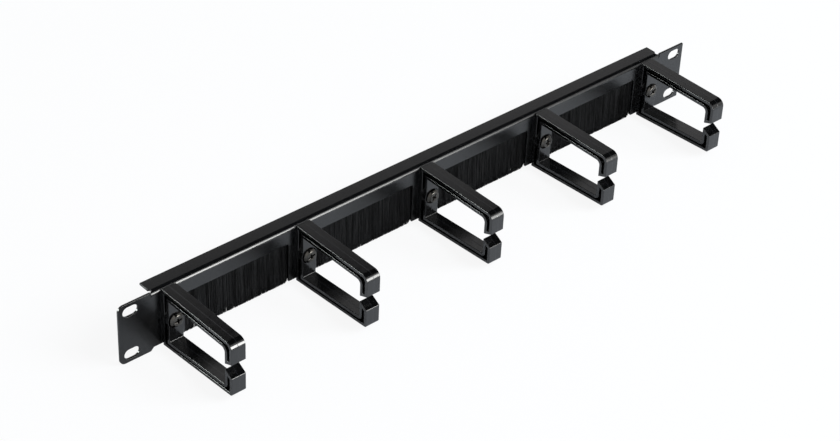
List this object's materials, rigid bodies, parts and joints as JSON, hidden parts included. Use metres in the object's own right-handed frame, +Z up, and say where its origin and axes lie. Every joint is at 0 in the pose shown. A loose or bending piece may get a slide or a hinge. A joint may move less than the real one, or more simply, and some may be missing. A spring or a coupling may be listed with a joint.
{
  "type": "horizontal cable manager",
  "caption": "Rack panel with C-shaped cable rings along its front and bristle-filled windows between them, which guide cables sideways or let them through to the back.",
  "frame": {"origin": "centre of the rack slot pattern, on the back face of the panel, where the ears meet the rack rails", "axes": "+X along the panel to the right as seen from the front, +Y from the panel into the rack, +Z up; the rings stand out towards -Y"},
  "size_m": [0.4826, 0.0799, 0.0436],
  "materials": {
    "panel_steel": "black powder coat, semi-gloss",
    "ring_plastic": "black moulded plastic, satin",
    "screw_steel": "dark nickel plate, bright",
    "nut_steel": "zinc plate",
    "channel_metal": "rolled, satin",
    "core_wire": "drawn wire",
    "bristle_nylon": "black nylon filaments",
    "tape_foam": "black foam tape"
  },
  "bodies": {
    "root": {"bristles_1": "bristle_nylon", "bristles_2": "bristle_nylon", "bristles_3": "bristle_nylon", "bristles_4": "bristle_nylon", "brush_channel_1": "channel_metal", "brush_channel_2": "channel_metal", "brush_channel_3": "channel_metal", "brush_channel_4": "channel_metal", "brush_core_1": "core_wire", "brush_core_2": "core_wire", "brush_core_3": "core_wire", "brush_core_4": "core_wire", "brush_tape_1": "tape_foam", "brush_tape_2": "tape_foam", "brush_tape_3": "tape_foam", "brush_tape_4": "tape_foam", "cable_ring_1": "ring_plastic", "cable_ring_2": "ring_plastic", "cable_ring_3": "ring_plastic", "cable_ring_4": "ring_plastic", "cable_ring_5": "ring_plastic", "panel": "panel_steel", "ring_nut_1": "nut_steel", "ring_nut_2": "nut_steel", "ring_nut_3": "nut_steel", "ring_nut_4": "nut_steel", "ring_nut_5": "nut_steel", "ring_screw_1": "screw_steel", "ring_screw_2": "screw_steel", "ring_screw_3": "screw_steel", "ring_screw_4": "screw_steel", "ring_screw_5": "screw_steel"}
  },
  "joints": []
}
